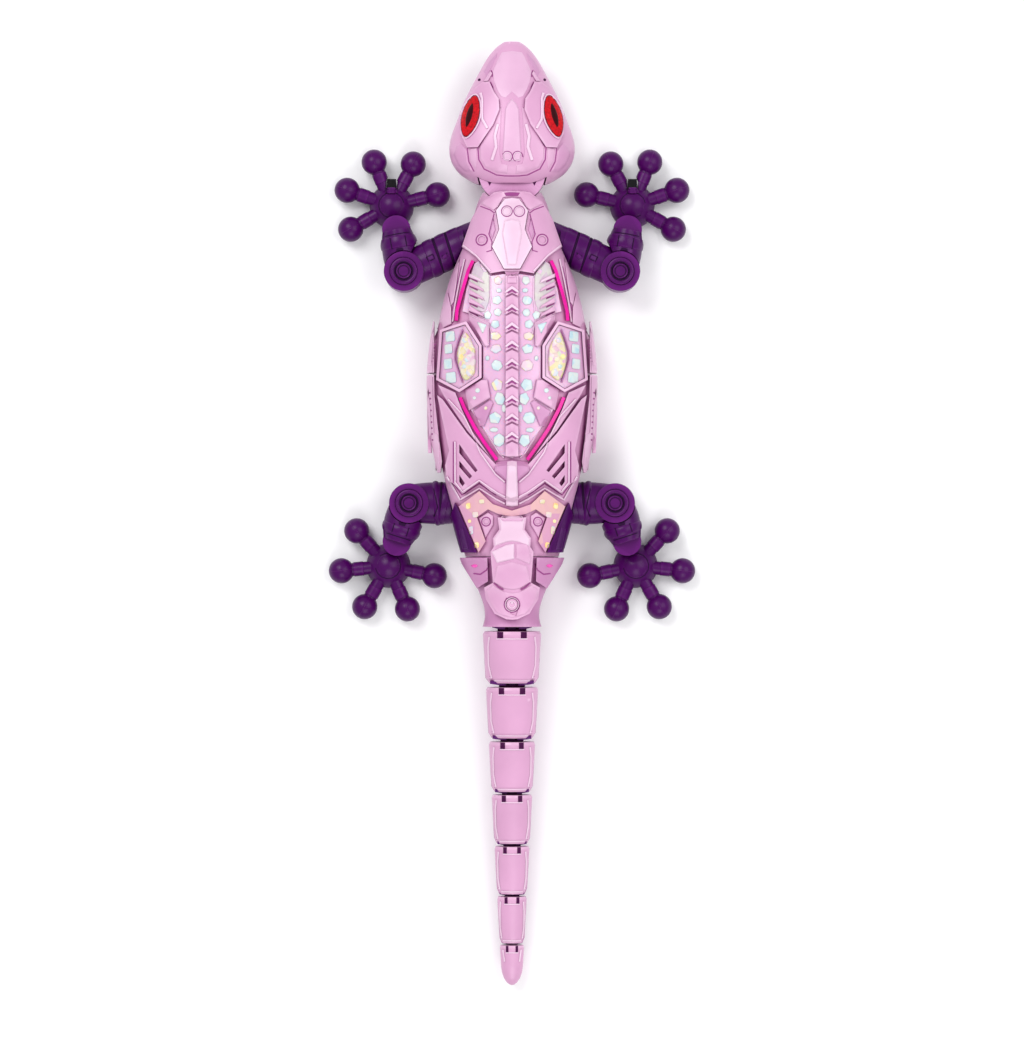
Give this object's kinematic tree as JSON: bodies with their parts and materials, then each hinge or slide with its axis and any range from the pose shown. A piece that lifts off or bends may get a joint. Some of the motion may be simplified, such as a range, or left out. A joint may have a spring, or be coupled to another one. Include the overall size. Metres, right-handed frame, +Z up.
{
  "type": "crawling gecko toy",
  "caption": "Light-up robotic gecko toy with an armoured back, glowing crystal windows, jointed limbs with ball-tipped toes and a chain of tail links.",
  "frame": {"origin": "on the floor under the middle of the toy's bounding box", "axes": "+Y towards the snout, +Z up, +X to the toy's right"},
  "size_m": [0.175, 0.4484, 0.0514],
  "materials": {
    "shell_pink": "gloss",
    "limb_purple": "gloss",
    "trim_purple": "satin",
    "glow_magenta": "gloss",
    "crystal": "gloss",
    "eye_red": "gloss",
    "roller_black": "matte",
    "board_green": "matte",
    "cell_metal": "satin",
    "motor_steel": "satin",
    "pinion_brass": "satin",
    "gear_white": "matte",
    "frame_grey": "matte",
    "screw_steel": "satin"
  },
  "bodies": {
    "chassis": {"belly_shell": "shell_pink", "back_shell": "shell_pink", "crystal_window": "crystal", "spine_ridge": "shell_pink", "light_pipes": "glow_magenta", "shoulder_plate": "shell_pink", "neck_crest": "shell_pink", "side_skirts": "shell_pink", "pod_bezels": "shell_pink", "pod_crystals": "crystal", "hip_plate": "shell_pink", "rump_window": "crystal", "rump_cover": "shell_pink", "tail_base": "shell_pink", "hip_brackets": "trim_purple", "circuit_board": "board_green", "batteries": "cell_metal", "battery_door": "shell_pink", "screws": "screw_steel", "drive_motor": "motor_steel", "gearbox_frame": "frame_grey", "neck_drum": "shell_pink"},
    "head": {"head_shell": "shell_pink", "jaw_shell": "shell_pink", "eye_surrounds": "shell_pink", "eye_lenses": "eye_red"},
    "power_button": {"power_button": "shell_pink"},
    "motor_pinion": {"motor_pinion": "pinion_brass"},
    "drive_gear": {"drive_gear": "gear_white"},
    "front_right_upper": {"front_right_upper_limb": "limb_purple", "front_right_elbow_cap": "trim_purple"},
    "front_right_lower": {"front_right_lower_limb": "limb_purple"},
    "front_right_foot_body": {"front_right_foot": "limb_purple"},
    "front_right_roller_body": {"front_right_roller": "roller_black"},
    "front_left_upper": {"front_left_upper_limb": "limb_purple", "front_left_elbow_cap": "trim_purple"},
    "front_left_lower": {"front_left_lower_limb": "limb_purple"},
    "front_left_foot_body": {"front_left_foot": "limb_purple"},
    "front_left_roller_body": {"front_left_roller": "roller_black"},
    "rear_right_upper": {"rear_right_upper_limb": "limb_purple", "rear_right_elbow_cap": "trim_purple"},
    "rear_right_lower": {"rear_right_lower_limb": "limb_purple"},
    "rear_right_foot_body": {"rear_right_foot": "limb_purple"},
    "rear_left_upper": {"rear_left_upper_limb": "limb_purple", "rear_left_elbow_cap": "trim_purple"},
    "rear_left_lower": {"rear_left_lower_limb": "limb_purple"},
    "rear_left_foot_body": {"rear_left_foot": "limb_purple"},
    "tail_1": {"tail_cover_1": "shell_pink", "tail_link_1": "shell_pink"},
    "tail_2": {"tail_cover_2": "shell_pink", "tail_link_2": "shell_pink"},
    "tail_3": {"tail_cover_3": "shell_pink", "tail_link_3": "shell_pink"},
    "tail_4": {"tail_cover_4": "shell_pink", "tail_link_4": "shell_pink"},
    "tail_5": {"tail_cover_5": "shell_pink", "tail_link_5": "shell_pink"},
    "tail_6": {"tail_cover_6": "shell_pink", "tail_link_6": "shell_pink"},
    "tail_end": {"tail_tip": "shell_pink"}
  },
  "joints": [
    {"name": "head_yaw", "type": "hinge", "parent": "chassis", "child": "head", "pos_m": [0, 0.16262, 0.033], "axis": [0, 0, 1], "range_deg": [-12, 12]},
    {"name": "power_button_press", "type": "slide", "parent": "chassis", "child": "power_button", "axis": [0, 0, -1], "range_m": [0, 0.0008], "stiffness_N_per_m": 400, "springref_m": -0.0002},
    {"name": "drive_gear_spin", "type": "hinge", "parent": "chassis", "child": "drive_gear", "pos_m": [0.0128, 0.09554, 0.0256], "axis": [1, 0, 0], "continuous": true},
    {"name": "motor_pinion_spin", "type": "hinge", "parent": "chassis", "child": "motor_pinion", "pos_m": [0.0128, 0.11052, 0.018], "axis": [1, 0, 0], "continuous": true},
    {"name": "front_right_swing", "type": "hinge", "parent": "chassis", "child": "front_right_upper", "pos_m": [0.014, 0.13362, 0.017], "axis": [0, 0, 1], "range_deg": [-8, 8]},
    {"name": "front_right_elbow", "type": "hinge", "parent": "front_right_upper", "child": "front_right_lower", "pos_m": [0.0513, 0.11543, 0.017], "axis": [0, 0, 1], "range_deg": [-8, 8]},
    {"name": "front_right_foot_swivel", "type": "hinge", "parent": "front_right_lower", "child": "front_right_foot_body", "pos_m": [0.05489, 0.13541, 0.017], "axis": [0, 0, 1], "range_deg": [-15, 15]},
    {"name": "front_right_roller_spin", "type": "hinge", "parent": "front_right_foot_body", "child": "front_right_roller_body", "pos_m": [0.05749, 0.15504, 0.0055], "axis": [1, 0, 0], "continuous": true},
    {"name": "front_left_swing", "type": "hinge", "parent": "chassis", "child": "front_left_upper", "pos_m": [-0.014, 0.13362, 0.017], "axis": [0, 0, 1], "range_deg": [-8, 8]},
    {"name": "front_left_elbow", "type": "hinge", "parent": "front_left_upper", "child": "front_left_lower", "pos_m": [-0.0513, 0.11543, 0.017], "axis": [0, 0, 1], "range_deg": [-8, 8]},
    {"name": "front_left_foot_swivel", "type": "hinge", "parent": "front_left_lower", "child": "front_left_foot_body", "pos_m": [-0.05489, 0.13541, 0.017], "axis": [0, 0, 1], "range_deg": [-15, 15]},
    {"name": "front_left_roller_spin", "type": "hinge", "parent": "front_left_foot_body", "child": "front_left_roller_body", "pos_m": [-0.05749, 0.15504, 0.0055], "axis": [1, 0, 0], "continuous": true},
    {"name": "rear_right_swing", "type": "hinge", "parent": "chassis", "child": "rear_right_upper", "pos_m": [0.02, 0.00562, 0.017], "axis": [0, 0, 1], "range_deg": [-8, 8]},
    {"name": "rear_right_elbow", "type": "hinge", "parent": "rear_right_upper", "child": "rear_right_lower", "pos_m": [0.0488, 0.00562, 0.017], "axis": [0, 0, 1], "range_deg": [-8, 8]},
    {"name": "rear_right_foot_swivel", "type": "hinge", "parent": "rear_right_lower", "child": "rear_right_foot_body", "pos_m": [0.05461, -0.01257, 0.017], "axis": [0, 0, 1], "range_deg": [-15, 15]},
    {"name": "rear_left_swing", "type": "hinge", "parent": "chassis", "child": "rear_left_upper", "pos_m": [-0.02, 0.00562, 0.017], "axis": [0, 0, 1], "range_deg": [-8, 8]},
    {"name": "rear_left_elbow", "type": "hinge", "parent": "rear_left_upper", "child": "rear_left_lower", "pos_m": [-0.0488, 0.00562, 0.017], "axis": [0, 0, 1], "range_deg": [-8, 8]},
    {"name": "rear_left_foot_swivel", "type": "hinge", "parent": "rear_left_lower", "child": "rear_left_foot_body", "pos_m": [-0.05461, -0.01257, 0.017], "axis": [0, 0, 1], "range_deg": [-15, 15]},
    {"name": "tail_hinge_1", "type": "hinge", "parent": "chassis", "child": "tail_1", "pos_m": [0, -0.05932, 0], "axis": [0, 0, 1], "range_deg": [-8, 8]},
    {"name": "tail_hinge_2", "type": "hinge", "parent": "tail_1", "child": "tail_2", "pos_m": [0, -0.08592, 0], "axis": [0, 0, 1], "range_deg": [-8, 8]},
    {"name": "tail_hinge_3", "type": "hinge", "parent": "tail_2", "child": "tail_3", "pos_m": [0, -0.11188, 0], "axis": [0, 0, 1], "range_deg": [-8, 8]},
    {"name": "tail_hinge_4", "type": "hinge", "parent": "tail_3", "child": "tail_4", "pos_m": [0, -0.13719, 0], "axis": [0, 0, 1], "range_deg": [-8, 8]},
    {"name": "tail_hinge_5", "type": "hinge", "parent": "tail_4", "child": "tail_5", "pos_m": [0, -0.16185, 0], "axis": [0, 0, 1], "range_deg": [-8, 8]},
    {"name": "tail_hinge_6", "type": "hinge", "parent": "tail_5", "child": "tail_6", "pos_m": [0, -0.18587, 0], "axis": [0, 0, 1], "range_deg": [-8, 8]},
    {"name": "tail_hinge_7", "type": "hinge", "parent": "tail_6", "child": "tail_end", "pos_m": [0, -0.20924, 0], "axis": [0, 0, 1], "range_deg": [-8, 8]}
  ],
  "couplings": [
    {"joint": "motor_pinion_spin", "follows": "drive_gear_spin", "ratio": -3.2},
    {"joint": "front_right_swing", "follows": "front_left_swing", "ratio": 1},
    {"joint": "rear_right_swing", "follows": "front_left_swing", "ratio": -1},
    {"joint": "rear_left_swing", "follows": "front_left_swing", "ratio": -1}
  ]
}
